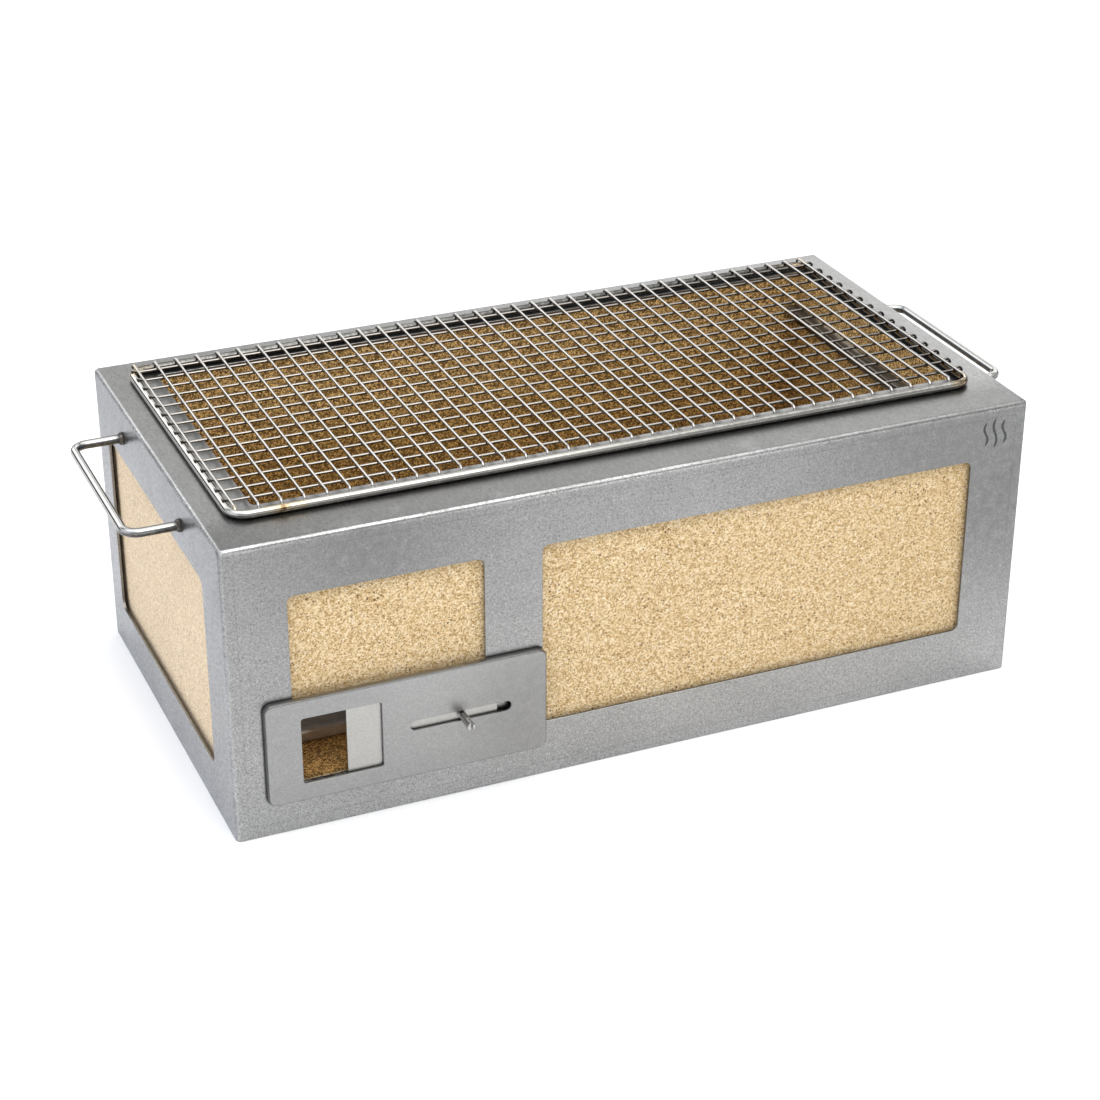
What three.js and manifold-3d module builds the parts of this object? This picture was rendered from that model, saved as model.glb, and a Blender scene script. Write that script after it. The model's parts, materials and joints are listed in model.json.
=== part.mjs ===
// Charcoal konro (hibachi) grill: a sheet-steel casing lined with insulating fire boards,
// with a sliding air damper, a loose charcoal grate and a loose welded wire cooking grill.
// Millimetres, +Z up. Origin: centre of the base plate's underside, where the grill stands.
// +X runs along the long side, and -Y is the front, which carries the air damper.
import * as THREE from 'three';
import { mergeVertices } from 'three/addons/utils/BufferGeometryUtils.js';
import Module from 'manifold-3d';

const wasm = await Module();
wasm.setup();

// ---- Driving dimensions ---------------------------------------------------------------

const GAP = 0.3; // left between pieces that touch
const BORE_PLAY = 0.3; // radial play round each screw
const PAST = 1; // how far a cutting tool reaches past what it cuts

// Casing
const LENGTH = 600;
const DEPTH = 320;
const HEIGHT = 220;
const SHEET = 2;
const BEND_R = 3; // outer radius of the folded edges
const UPRIGHT_R = 0.6; // added to the bend at the upright edges
const BEND_STEPS = 3;

// Opening in the top of the casing, a little nearer to the back and to the right
const TOP_OPENING = { x0: -260.5, x1: 270, y0: -104, y1: 128, r: 3 };

// Windows: x or y from, to, then z from, to, and the corner radius
const FRONT_WINDOWS = [
  { a0: -256.5, a1: -119, z0: 95, z1: 178.5, r: 5 },
  { a0: -77, a1: 256, z0: 42, z1: 179.5, r: 5 },
];
const REAR_WINDOWS = [
  { a0: -256, a1: -20, z0: 42, z1: 179.5, r: 5 },
  { a0: 20, a1: 256, z0: 42, z1: 179.5, r: 5 },
];
const END_WINDOW = { a0: -114, a1: 130, z0: 35, z1: 177, r: 7 };

// Fire boards
const BOARD = 25;
const BOARD_TOP = 217;
const BOARD_X = 270; // inner face of the left and right boards
const BOARD_Y = 130.5; // inner face of the front and rear boards
const BASE_BOARD_TOP = 38.5;
const BOARD_FOOT = SHEET + GAP;
const BOARD_VENT = { side: 2.5, head: 4 }; // how much wider its hole is than the vent

// Air vent
const VENT = { x0: -252.8, x1: -195.8, z0: 38, z1: 88.3, r: 2 };
const VENT_CLEAR = 1.5; // the casing's hole is this much larger all round
const COVER = { x0: -277.5, x1: -76, z0: 24.6, z1: 102.6, r: 6, steps: 4 };
const CHANNEL = 2.4; // thickness of the guide strips between casing and cover
const GUIDE_H = 5.6;
const GUIDE_INSET = 2.5;
const DAMPER = { x0: -220.5, x1: -112, z0: 33, z1: 91, r: 1.5 };
const DAMPER_T = 1.6;
const DAMPER_SIDE_GAP = 0.4;
const SLOT = { x0: -176, x1: -102.5, z: 64.4, h: 7.7 };
const PIN_X = -138.3;
const PIN_R = 3;
const PIN_REACH = 17; // how far the pin stands out of the cover
const PIN_EDGE = 0.6;
const PIN_SIDES = 16;

// Bent rods: sides of the section, and rings in each bend
const ROD_SIDES = 10;
const ROD_STEPS = 5;

// Carrying handles
const HANDLE_R = 3.25;
const HANDLE_Z = 196;
const HANDLE_Y0 = -67;
const HANDLE_Y1 = 82.5;
const HANDLE_REACH = 37; // from the wall to the middle of the grip
const HANDLE_BEND = 11;
const COLLAR = { r: 5, h: 4, shoulder: 2.4, tip: 0.6, sides: 12 };

// Rest rails on the end boards
const RAIL_Z = 192;
const RAIL_LEDGE = 11;
const RAIL_LEG = 16;
const RAIL_T = 1.6;
const RAIL_HALF = 129;
const RAIL_SCREW_Y = 90;
const RAIL_SCREW = { r: 2, length: 20, headR: 4, headH: 2, round: 1, sides: 10 };

// Corner brackets and base screws
const BRACKET = 18;
const BRACKET_H = 12;
const BRACKET_T = 2;
const BRACKET_OFF_WALL = 2;
const NOTCH_H = 15;
const NOTCH_CLEAR = 2;
const BASE_SCREW = { r: 2.5, length: 10, headR: 5, headH: 1.6, rim: 0.2, sunk: 0.3, sides: 12 };

// Charcoal grate
const GRATE = { x: 256, y: 115, z: 48, sheet: 2 };
const GRATE_COLUMNS = 16;
const GRATE_ROWS = 2;
const GRATE_SLOT = { width: 10, length: 92, pitchX: 30, pitchY: 108, steps: 2 };

// Cooking grill
const GRILL_PLAY = 0.2; // left between its frame and the casing
const ROD_R = 3;
const GRILL = { x0: -279, x1: 275, y0: -122, y1: 135.2, bend: 13 }; // rod's centre line
const WIRE = 1.7;
const CROSS_WIRES = 36;
const CROSS_FIRST_X = -275.3;
const CROSS_PITCH = 15.72;
const CROSS_END = { y0: -119.5, y1: 139.5 };
const LONG_WIRES = 15;
const LONG_FIRST_Y = -102.3;
const LONG_PITCH = 16.36;
const LONG_END = { x0: -272.5, x1: 268.5 };

// ---- Materials -------------------------------------------------------------------------

const material = (color, roughness, metalness) =>
  new THREE.MeshStandardMaterial({ color, roughness, metalness });

const casingSteel = () => material(0x9b9da0, 0.5, 0.9);
const brightSteel = () => material(0xc9c8c4, 0.35, 1);
const darkSteel = () => material(0x6a6560, 0.55, 0.9);
const fireBoard = () => material(0xdcbd8b, 0.95, 0);

// ---- Solids ----------------------------------------------------------------------------

const X = new THREE.Vector3(1, 0, 0);
const Y = new THREE.Vector3(0, 1, 0);
const Z = new THREE.Vector3(0, 0, 1);

// A closed geometry as a solid that can be joined and cut
function solidOf(geometry) {
  const plain = geometry.clone();
  for (const name of Object.keys(plain.attributes)) {
    if (name !== 'position') plain.deleteAttribute(name);
  }
  const merged = mergeVertices(plain, 1e-4);
  const index = Array.from(merged.index.array);
  const triangles = [];
  for (let i = 0; i < index.length; i += 3) {
    const [a, b, c] = index.slice(i, i + 3);
    if (a !== b && b !== c && c !== a) triangles.push(a, b, c);
  }
  return new wasm.Manifold(new wasm.Mesh({
    numProp: 3,
    vertProperties: new Float32Array(merged.attributes.position.array),
    triVerts: new Uint32Array(triangles),
  }));
}

function geometryOf(solid) {
  const { vertProperties, triVerts } = solid.getMesh();
  const geometry = new THREE.BufferGeometry();
  geometry.setAttribute('position', new THREE.BufferAttribute(vertProperties, 3));
  geometry.setIndex(new THREE.BufferAttribute(triVerts, 1));
  return geometry;
}

function cut(body, tools) {
  return tools.reduce((rest, tool) => rest.subtract(solidOf(tool)), solidOf(body));
}

function joined(pieces) {
  return pieces.map(solidOf).reduce((whole, piece) => whole.add(piece));
}

// A box given by its lowest and highest corner
function box(x0, x1, y0, y1, z0, z1) {
  const geometry = new THREE.BoxGeometry(x1 - x0, y1 - y0, z1 - z0);
  return geometry.translate((x0 + x1) / 2, (y0 + y1) / 2, (z0 + z1) / 2);
}

// A rectangle with round corners, in the plane of a shape
function roundedRectangle(a0, a1, b0, b1, r) {
  const shape = new THREE.Shape();
  shape.moveTo(a0 + r, b0);
  shape.absarc(a1 - r, b0 + r, r, -Math.PI / 2, 0);
  shape.absarc(a1 - r, b1 - r, r, 0, Math.PI / 2);
  shape.absarc(a0 + r, b1 - r, r, Math.PI / 2, Math.PI);
  shape.absarc(a0 + r, b0 + r, r, Math.PI, 1.5 * Math.PI);
  return shape;
}

// A shape drawn on (x, y), from z0 to z1
function prismZ(shape, z0, z1, curveSegments = 3) {
  const geometry = new THREE.ExtrudeGeometry(shape, {
    depth: z1 - z0, bevelEnabled: false, curveSegments,
  });
  return geometry.translate(0, 0, z0);
}

// A shape drawn on (x, z), from y0 to y1
function prismY(shape, y0, y1, curveSegments = 3) {
  const geometry = prismZ(shape, -y1, -y0, curveSegments);
  return geometry.applyMatrix4(new THREE.Matrix4().makeBasis(X, Z, Y.clone().negate()));
}

// A shape drawn on (y, z), from x0 to x1
function prismX(shape, x0, x1, curveSegments = 3) {
  const geometry = prismZ(shape, x0, x1, curveSegments);
  return geometry.applyMatrix4(new THREE.Matrix4().makeBasis(Y, Z, X));
}

// A round body about the local +Y axis, turned to point along a direction and moved there
function turned(profile, segments, direction, at) {
  const points = profile.map(([r, h]) => new THREE.Vector2(r, h));
  const geometry = new THREE.LatheGeometry(points, segments);
  geometry.applyQuaternion(new THREE.Quaternion().setFromUnitVectors(Y, direction));
  return geometry.translate(at.x, at.y, at.z);
}

// The middle line of a bent rod: straight runs, with arcs at the inner corners.
// Each station is one ring of the rod.
class BentRod extends THREE.Curve {
  constructor(corners, radius, arcSteps) {
    super();
    this.stations = [corners[0]];
    for (let i = 1; i < corners.length - 1; i += 1) {
      this.addArc(corners[i - 1], corners[i], corners[i + 1], radius, arcSteps);
    }
    this.stations.push(corners[corners.length - 1]);
  }

  addArc(before, corner, after, radius, arcSteps) {
    const towards = before.clone().sub(corner).normalize();
    const away = after.clone().sub(corner).normalize();
    const centre = corner.clone().addScaledVector(towards, radius).addScaledVector(away, radius);
    for (let k = 0; k <= arcSteps; k += 1) {
      const angle = (k / arcSteps) * (Math.PI / 2);
      this.stations.push(centre.clone()
        .addScaledVector(away, -radius * Math.cos(angle))
        .addScaledVector(towards, -radius * Math.sin(angle)));
    }
  }

  getPoint(t) {
    const last = this.stations.length - 1;
    const place = Math.min(Math.max(t, 0), 1) * last;
    const i = Math.min(Math.floor(place), last - 1);
    return this.stations[i].clone().lerp(this.stations[i + 1], place - i);
  }

  getUtoTmapping(u) {
    return u;
  }
}

function rod(corners, bendRadius, rodRadius) {
  const path = new BentRod(corners, bendRadius, ROD_STEPS);
  const section = new THREE.Shape().absarc(0, 0, rodRadius, 0, 2 * Math.PI);
  return new THREE.ExtrudeGeometry(section, {
    steps: path.stations.length - 1, curveSegments: ROD_SIDES, extrudePath: path,
  });
}

// ---- Scene -----------------------------------------------------------------------------

const grill = new THREE.Group();
grill.name = 'konro_grill';

function addMesh(name, geometry, finish, parent = grill) {
  const mesh = new THREE.Mesh(geometry, finish);
  mesh.name = name;
  parent.add(mesh);
  return mesh;
}

const addSolid = (name, solid, finish, parent) =>
  addMesh(name, geometryOf(solid), finish, parent);

// ---- Casing ----------------------------------------------------------------------------

// The outer block, with round vertical edges and a round top edge. It reaches below the casing,
// where makeCasing cuts off its lower round edge.
function casingBlock() {
  const shape = roundedRectangle(
    -LENGTH / 2 + BEND_R, LENGTH / 2 - BEND_R,
    -DEPTH / 2 + BEND_R, DEPTH / 2 - BEND_R, UPRIGHT_R);
  const block = new THREE.ExtrudeGeometry(shape, {
    depth: HEIGHT,
    bevelThickness: BEND_R,
    bevelSize: BEND_R,
    bevelSegments: BEND_STEPS,
    curveSegments: BEND_STEPS,
  });
  return block.translate(0, 0, -BEND_R);
}

function windowShape(window) {
  return roundedRectangle(window.a0, window.a1, window.z0, window.z1, window.r);
}

function makeCasing() {
  const halfX = LENGTH / 2;
  const halfY = DEPTH / 2;
  const through = SHEET + PAST;
  const top = roundedRectangle(
    TOP_OPENING.x0, TOP_OPENING.x1, TOP_OPENING.y0, TOP_OPENING.y1, TOP_OPENING.r);
  const vent = roundedRectangle(
    VENT.x0 - VENT_CLEAR, VENT.x1 + VENT_CLEAR, VENT.z0 - VENT_CLEAR, VENT.z1 + VENT_CLEAR, VENT.r);
  const tools = [
    box(-LENGTH, LENGTH, -DEPTH, DEPTH, -2 * BEND_R - PAST, 0),
    box(-halfX + SHEET, halfX - SHEET, -halfY + SHEET, halfY - SHEET, -PAST, HEIGHT - SHEET),
    prismZ(top, HEIGHT - through, HEIGHT + PAST),
    prismX(windowShape(END_WINDOW), -halfX - PAST, -halfX + through),
    prismX(windowShape(END_WINDOW), halfX - through, halfX + PAST),
    prismY(vent, -halfY - PAST, -halfY + through),
    ...FRONT_WINDOWS.map((w) => prismY(windowShape(w), -halfY - PAST, -halfY + through)),
    ...REAR_WINDOWS.map((w) => prismY(windowShape(w), halfY - through, halfY + PAST)),
  ];
  addSolid('casing', cut(casingBlock(), tools), casingSteel());
}

// ---- Base plate, corner brackets and their screws ---------------------------------------

const CORNERS = [
  ['front_left', -1, -1], ['front_right', 1, -1], ['rear_left', -1, 1], ['rear_right', 1, 1],
];
const BASE_X = LENGTH / 2 - SHEET - GAP;
const BASE_Y = DEPTH / 2 - SHEET - GAP;
const screwPlace = (sx, sy) => new THREE.Vector3(
  sx * (BASE_X - BRACKET_T - (BRACKET - BRACKET_T) / 2),
  sy * (BASE_Y - BRACKET / 2 - BRACKET_OFF_WALL),
  0);

// Countersunk screw, point up; grow widens it into the tool that cuts its seat
function countersunk(grow) {
  const { r, length, headR, headH, rim, sunk } = BASE_SCREW;
  const foot = grow ? -PAST : sunk;
  return [[0, foot], [headR + grow, foot], [headR + grow, sunk + rim + grow / 2],
    [r + grow, sunk + headH + grow / 2], [r + grow, length + grow], [0, length + grow]];
}

function makeBase() {
  const seats = CORNERS.map(([, sx, sy]) =>
    turned(countersunk(BORE_PLAY), BASE_SCREW.sides, Z, screwPlace(sx, sy)));
  addSolid('base_plate', cut(box(-BASE_X, BASE_X, -BASE_Y, BASE_Y, 0, SHEET), seats), casingSteel());

  for (const [name, sx, sy] of CORNERS) {
    const at = screwPlace(sx, sy);
    const screw = turned(countersunk(0), BASE_SCREW.sides, Z, at);
    addSolid(`base_screw_${name}`, solidOf(screw), brightSteel());

    const [x0, x1] = [sx * (BASE_X - BRACKET), sx * BASE_X].sort((a, b) => a - b);
    const wallX = [sx * (BASE_X - BRACKET_T), sx * BASE_X].sort((a, b) => a - b);
    const [y0, y1] = [at.y - BRACKET / 2, at.y + BRACKET / 2];
    const seat = turned(countersunk(BORE_PLAY), BASE_SCREW.sides, Z, at);
    const bracket = joined([
      box(x0, x1, y0, y1, BOARD_FOOT, BOARD_FOOT + BRACKET_T),
      box(...wallX, y0, y1, BOARD_FOOT, BOARD_FOOT + BRACKET_H),
    ]).subtract(solidOf(seat));
    addSolid(`corner_bracket_${name}`, bracket, casingSteel());
  }
}

// ---- Fire boards -----------------------------------------------------------------------

function makeBoards() {
  const outerX = BOARD_X + BOARD;
  const outerY = BOARD_Y + BOARD;
  const notchX = BASE_X - BRACKET - NOTCH_CLEAR;
  const notches = [-1, 1].map((sx) => box(
    Math.min(sx * notchX, sx * LENGTH), Math.max(sx * notchX, sx * LENGTH),
    -DEPTH, DEPTH, -PAST, NOTCH_H));
  const ventHole = box(
    VENT.x0 - BOARD_VENT.side, VENT.x1 + BOARD_VENT.side,
    -DEPTH / 2, -BOARD_Y + PAST,
    BASE_BOARD_TOP, VENT.z1 + BOARD_VENT.head);

  const front = box(-outerX, outerX, -outerY, -BOARD_Y, BOARD_FOOT, BOARD_TOP);
  addSolid('fire_board_front', cut(front, [...notches, ventHole]), fireBoard());
  const rear = box(-outerX, outerX, BOARD_Y, outerY, BOARD_FOOT, BOARD_TOP);
  addSolid('fire_board_rear', cut(rear, notches), fireBoard());

  const endY = BOARD_Y - GAP;
  for (const [side, sx] of [['left', -1], ['right', 1]]) {
    const [x0, x1] = [sx * BOARD_X, sx * outerX].sort((a, b) => a - b);
    const holes = [-1, 1].map((sy) => turned(railScrew(BORE_PLAY), RAIL_SCREW.sides,
      new THREE.Vector3(sx, 0, 0), railScrewPlace(sx, sy)));
    addSolid(`fire_board_${side}`,
      cut(box(x0, x1, -endY, endY, BOARD_FOOT, BOARD_TOP), holes), fireBoard());

    const [b0, b1] = [sx * GAP / 2, sx * (BOARD_X - GAP)].sort((a, b) => a - b);
    addSolid(`fire_board_base_${side}`,
      solidOf(box(b0, b1, -endY, endY, BOARD_FOOT, BASE_BOARD_TOP)), fireBoard());
  }
}

// ---- Rest rails ------------------------------------------------------------------------

// Pan-head screw along its own axis; zero is the seat of the head, on the rail's leg
function railScrew(grow) {
  const { r, length, headR, headH, round } = RAIL_SCREW;
  return grow
    ? [[0, -PAST], [r + grow, -PAST], [r + grow, length + grow], [0, length + grow]]
    : [[0, -headH - GAP], [headR - round, -headH - GAP], [headR, -headH / 2 - GAP],
      [headR, -GAP], [r, -GAP], [r, length], [0, length]];
}

function railScrewPlace(sx, sy) {
  const seatX = BOARD_X - GAP - RAIL_T;
  return new THREE.Vector3(sx * seatX, sy * RAIL_SCREW_Y, RAIL_Z - RAIL_T - RAIL_LEG / 2);
}

function makeRails() {
  const wall = BOARD_X - GAP;
  for (const [side, sx] of [['left', -1], ['right', 1]]) {
    const ledge = [sx * wall, sx * (wall - RAIL_LEDGE)].sort((a, b) => a - b);
    const leg = [sx * wall, sx * (wall - RAIL_T)].sort((a, b) => a - b);
    const rail = joined([
      box(...ledge, -RAIL_HALF, RAIL_HALF, RAIL_Z - RAIL_T, RAIL_Z),
      box(...leg, -RAIL_HALF, RAIL_HALF, RAIL_Z - RAIL_LEG, RAIL_Z),
    ]);
    const direction = new THREE.Vector3(sx, 0, 0);
    const holes = [-1, 1].map((sy) => solidOf(
      turned(railScrew(BORE_PLAY), RAIL_SCREW.sides, direction, railScrewPlace(sx, sy))));
    addSolid(`rest_rail_${side}`,
      holes.reduce((rest, hole) => rest.subtract(hole), rail), casingSteel());

    for (const [end, sy] of [['front', -1], ['rear', 1]]) {
      const screw = turned(railScrew(0), RAIL_SCREW.sides, direction, railScrewPlace(sx, sy));
      addSolid(`rail_screw_${side}_${end}`, solidOf(screw), brightSteel());
    }
  }
}

// ---- Air vent --------------------------------------------------------------------------

function makeVent() {
  const guideBack = -DEPTH / 2 - GAP;
  const guideFront = guideBack - CHANNEL;
  const coverBack = guideFront - GAP;
  const coverFront = coverBack - SHEET;

  const plate = roundedRectangle(COVER.x0, COVER.x1, COVER.z0, COVER.z1, COVER.r);
  const opening = roundedRectangle(VENT.x0, VENT.x1, VENT.z0, VENT.z1, VENT.r);
  const slot = roundedRectangle(
    SLOT.x0, SLOT.x1, SLOT.z - SLOT.h / 2, SLOT.z + SLOT.h / 2, SLOT.h / 2);
  plate.holes.push(opening, slot);
  addSolid('vent_cover', solidOf(prismY(plate, coverFront, coverBack, COVER.steps)), casingSteel());

  const guideX = [COVER.x0 + GUIDE_INSET, COVER.x1 - GUIDE_INSET];
  const lowTop = DAMPER.z0 - DAMPER_SIDE_GAP;
  const highFoot = DAMPER.z1 + DAMPER_SIDE_GAP;
  addSolid('vent_guide_lower',
    solidOf(box(...guideX, guideFront, guideBack, lowTop - GUIDE_H, lowTop)), casingSteel());
  addSolid('vent_guide_upper',
    solidOf(box(...guideX, guideFront, guideBack, highFoot, highFoot + GUIDE_H)), casingSteel());

  const damper = new THREE.Group();
  damper.position.y = (guideFront + guideBack) / 2;
  grill.add(damper);
  const sheet = roundedRectangle(DAMPER.x0, DAMPER.x1, DAMPER.z0, DAMPER.z1, DAMPER.r);
  addSolid('damper_plate',
    solidOf(prismY(sheet, -DAMPER_T / 2, DAMPER_T / 2)), brightSteel(), damper);

  const seat = damper.position.y - DAMPER_T / 2 - GAP;
  const reach = seat - coverFront + PIN_REACH;
  const pin = turned(
    [[0, 0], [PIN_R, 0], [PIN_R, reach - PIN_EDGE], [PIN_R - PIN_EDGE, reach], [0, reach]],
    PIN_SIDES,
    Y.clone().negate(), new THREE.Vector3(PIN_X, -DAMPER_T / 2 - GAP, SLOT.z));
  addSolid('damper_pin', solidOf(pin), brightSteel(), damper);
}

// ---- Carrying handles ------------------------------------------------------------------

function makeHandles() {
  for (const [side, sx] of [['left', -1], ['right', 1]]) {
    const wall = sx * (LENGTH / 2 + GAP);
    const grip = sx * (LENGTH / 2 + HANDLE_REACH);
    const corners = [[wall, HANDLE_Y0], [grip, HANDLE_Y0], [grip, HANDLE_Y1], [wall, HANDLE_Y1]]
      .map(([x, y]) => new THREE.Vector3(x, y, HANDLE_Z));
    addSolid(`handle_${side}`,
      solidOf(rod(corners, HANDLE_BEND, HANDLE_R)), brightSteel());

    const inner = HANDLE_R + GAP;
    const ring = [[inner, 0], [COLLAR.r, 0], [COLLAR.r, COLLAR.shoulder],
      [inner + COLLAR.tip, COLLAR.h], [inner, COLLAR.h], [inner, 0]];
    for (const [end, y] of [['front', HANDLE_Y0], ['rear', HANDLE_Y1]]) {
      const collar = turned(ring, COLLAR.sides, new THREE.Vector3(sx, 0, 0),
        new THREE.Vector3(wall, y, HANDLE_Z));
      addSolid(`handle_collar_${side}_${end}`, solidOf(collar), darkSteel());
    }
  }
}

// ---- Charcoal grate --------------------------------------------------------------------

function makeGrate() {
  const { x, y, z, sheet } = GRATE;
  const foot = BASE_BOARD_TOP + GAP;
  const hollow = box(-x + sheet, x - sheet, -y + sheet, y - sheet, foot - PAST, z - sheet);
  const slots = [];
  for (let column = 0; column < GRATE_COLUMNS; column += 1) {
    for (let row = 0; row < GRATE_ROWS; row += 1) {
      const cx = (column - (GRATE_COLUMNS - 1) / 2) * GRATE_SLOT.pitchX;
      const cy = (row - (GRATE_ROWS - 1) / 2) * GRATE_SLOT.pitchY;
      slots.push(roundedRectangle(
        cx - GRATE_SLOT.width / 2, cx + GRATE_SLOT.width / 2,
        cy - GRATE_SLOT.length / 2, cy + GRATE_SLOT.length / 2, GRATE_SLOT.width / 2));
    }
  }
  const tools = [hollow, prismZ(slots, z - sheet - PAST, z + PAST, GRATE_SLOT.steps)];
  addSolid('charcoal_grate', cut(box(-x, x, -y, y, foot, z), tools), darkSteel());
}

// ---- Cooking grill ---------------------------------------------------------------------

// The rod frame is two U-shaped halves, welded end to end
function makeGrillFrame(parent) {
  const middle = (GRILL.x0 + GRILL.x1) / 2;
  const halves = [GRILL.x0, GRILL.x1].map((x) => {
    const corners = [[middle, GRILL.y0], [x, GRILL.y0], [x, GRILL.y1], [middle, GRILL.y1]]
      .map(([px, py]) => new THREE.Vector3(px, py, ROD_R));
    return rod(corners, GRILL.bend, ROD_R);
  });
  addSolid('grill_frame', joined(halves), brightSteel(), parent);
}

// Parallel wires along Y in one plane, from y0 to y1, held by a wire at each end: a flat block
// with one long hole between each two wires
function wireLadder(firstX, pitch, count, y0, y1, z0) {
  const half = WIRE / 2;
  const block = box(firstX - half, firstX + (count - 1) * pitch + half, y0, y1, z0, z0 + WIRE);
  const holes = [];
  for (let i = 0; i < count - 1; i += 1) {
    const x = firstX + i * pitch + half;
    holes.push(box(x, x + pitch - WIRE, y0 + WIRE, y1 - WIRE, z0 - PAST, z0 + WIRE + PAST));
  }
  return cut(block, holes);
}

// The wires along Y lie on top of the frame
function makeCrossWires(parent) {
  const ladder = wireLadder(
    CROSS_FIRST_X, CROSS_PITCH, CROSS_WIRES, CROSS_END.y0, CROSS_END.y1, 2 * ROD_R + GAP);
  addSolid('mesh_wires_cross', ladder, brightSteel(), parent);
}

// The wires along X lie just below them, inside the frame: a ladder turned by a quarter
function makeLongWires(parent) {
  const ladder = wireLadder(
    LONG_FIRST_Y, LONG_PITCH, LONG_WIRES, -LONG_END.x1, -LONG_END.x0, 2 * ROD_R - WIRE);
  const mesh = addSolid('mesh_wires_long', ladder, brightSteel(), parent);
  mesh.rotation.z = Math.PI / 2;
}

function makeCookingGrill() {
  const cookingGrill = new THREE.Group();
  cookingGrill.position.z = HEIGHT + GRILL_PLAY;
  grill.add(cookingGrill);
  makeGrillFrame(cookingGrill);
  makeCrossWires(cookingGrill);
  makeLongWires(cookingGrill);
}

makeCasing();
makeBase();
makeBoards();
makeRails();
makeVent();
makeHandles();
makeGrate();
makeCookingGrill();

export default grill;
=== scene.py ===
"""Charcoal konro grill, the visual model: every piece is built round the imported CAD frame.

Lengths are in metres, +Z up, -Y is the front with the air vent, +X is the long side.
"""

import json
import math
import random

import bmesh
import bpy
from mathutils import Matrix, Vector, noise


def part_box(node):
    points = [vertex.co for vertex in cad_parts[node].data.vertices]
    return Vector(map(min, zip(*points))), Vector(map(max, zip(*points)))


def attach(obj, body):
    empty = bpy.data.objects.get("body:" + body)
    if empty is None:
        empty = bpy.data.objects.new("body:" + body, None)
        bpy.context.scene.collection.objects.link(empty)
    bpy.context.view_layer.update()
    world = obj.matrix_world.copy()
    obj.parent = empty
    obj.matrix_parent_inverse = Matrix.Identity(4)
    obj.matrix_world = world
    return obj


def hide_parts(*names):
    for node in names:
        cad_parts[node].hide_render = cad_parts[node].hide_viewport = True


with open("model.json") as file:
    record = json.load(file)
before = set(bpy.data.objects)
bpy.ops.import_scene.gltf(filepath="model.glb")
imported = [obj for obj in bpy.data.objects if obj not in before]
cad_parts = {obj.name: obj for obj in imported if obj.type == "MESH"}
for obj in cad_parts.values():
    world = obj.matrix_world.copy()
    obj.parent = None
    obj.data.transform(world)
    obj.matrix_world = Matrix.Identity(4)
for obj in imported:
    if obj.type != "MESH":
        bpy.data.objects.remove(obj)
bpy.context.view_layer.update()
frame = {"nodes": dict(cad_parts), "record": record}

MM = 0.001
RECORD = frame["record"]
BODY_OF = {n: body for body, nodes in RECORD["behaviour"]["bodies"].items() for n in nodes}
CASING_LO, CASING_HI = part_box("casing")
FRONT_Y = CASING_LO.y
TOP_Z = CASING_HI.z

# ---- Sizes ----
# Openings are rounded rectangles in millimetres: a is X or Y, b is Z, or Y in the top; r is the radius.

SHEET = 2 * MM
BEND_R = 3 * MM
UPRIGHT_R = 3.6 * MM
BEND_STEPS = 8
TOP_OPENING = dict(a0=-260.5, a1=270, b0=-104, b1=128, r=3)
FRONT_WINDOWS = [
    dict(a0=-256.5, a1=-119, b0=95, b1=178.5, r=5),
    dict(a0=-77, a1=256, b0=42, b1=179.5, r=5),
]
REAR_WINDOWS = [
    dict(a0=-256, a1=-20, b0=42, b1=179.5, r=5),
    dict(a0=20, a1=256, b0=42, b1=179.5, r=5),
]
END_WINDOW = dict(a0=-114, a1=130, b0=35, b1=177, r=7)
VENT = dict(a0=-252.8, a1=-195.8, b0=38, b1=88.3, r=2)
VENT_HOLE = dict(a0=-254.3, a1=-194.3, b0=36.5, b1=89.8, r=2)
BOARD_VENT = dict(a0=-255.3, a1=-193.3, b0=38.5, b1=92.3, r=1)
SLOT = dict(a0=-176, a1=-102.5, b0=60.55, b1=68.25, r=3.84)
PIN_X = -138.3 * MM
PIN_Z = 64.4 * MM
COVER_R = 6 * MM
HANDLE_R = 3.25 * MM
HANDLE_BEND = 11 * MM
ROD_R = 3 * MM
ROD_BEND = 13 * MM
ROD_BEND_STEPS = 14
ROD_RUN_STEP = 12 * MM
WIRE_R = 1.0 * MM
WIRE_SIDES = 10
CROSS_FIRST_X = -275.3 * MM
CROSS_PITCH = 15.72 * MM
CROSS_COUNT = 36
LONG_FIRST_Y = -102.3 * MM
LONG_PITCH = 16.36 * MM
LONG_COUNT = 15
SAG = 0.5 * MM
GRATE_SLOTS = (16, 2, 10, 92, 30, 108)  # columns, rows, width, length, pitch along X, along Y
FRONT_BOARD_Y = -0.14
NOTCH_X = 277.7 * MM
NOTCH_Z = 15 * MM

# ---- Mesh tools ----

def new_piece(name, verts, faces):
    mesh = bpy.data.meshes.new(name)
    mesh.from_pydata([tuple(v) for v in verts], [], faces)
    mesh.validate()
    piece = bpy.data.objects.new(name, mesh)
    bpy.context.scene.collection.objects.link(piece)
    return piece


def merge(parts):
    """Several (verts, faces) as one."""
    verts, faces = [], []
    for part_verts, part_faces in parts:
        start = len(verts)
        verts += list(part_verts)
        faces += [tuple(i + start for i in face) for face in part_faces]
    return verts, faces


def rounded_rectangle(a0, a1, b0, b1, r):
    """The outline as (a, b) points, anticlockwise."""
    centres = [(a1 - r, b0 + r, -90), (a1 - r, b1 - r, 0), (a0 + r, b1 - r, 90), (a0 + r, b0 + r, 180)]
    outline = []
    for ca, cb, start in centres:
        for k in range(BEND_STEPS + 1):
            angle = math.radians(start + 90 * k / BEND_STEPS)
            outline.append((ca + r * math.cos(angle), cb + r * math.sin(angle)))
    return outline


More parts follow.
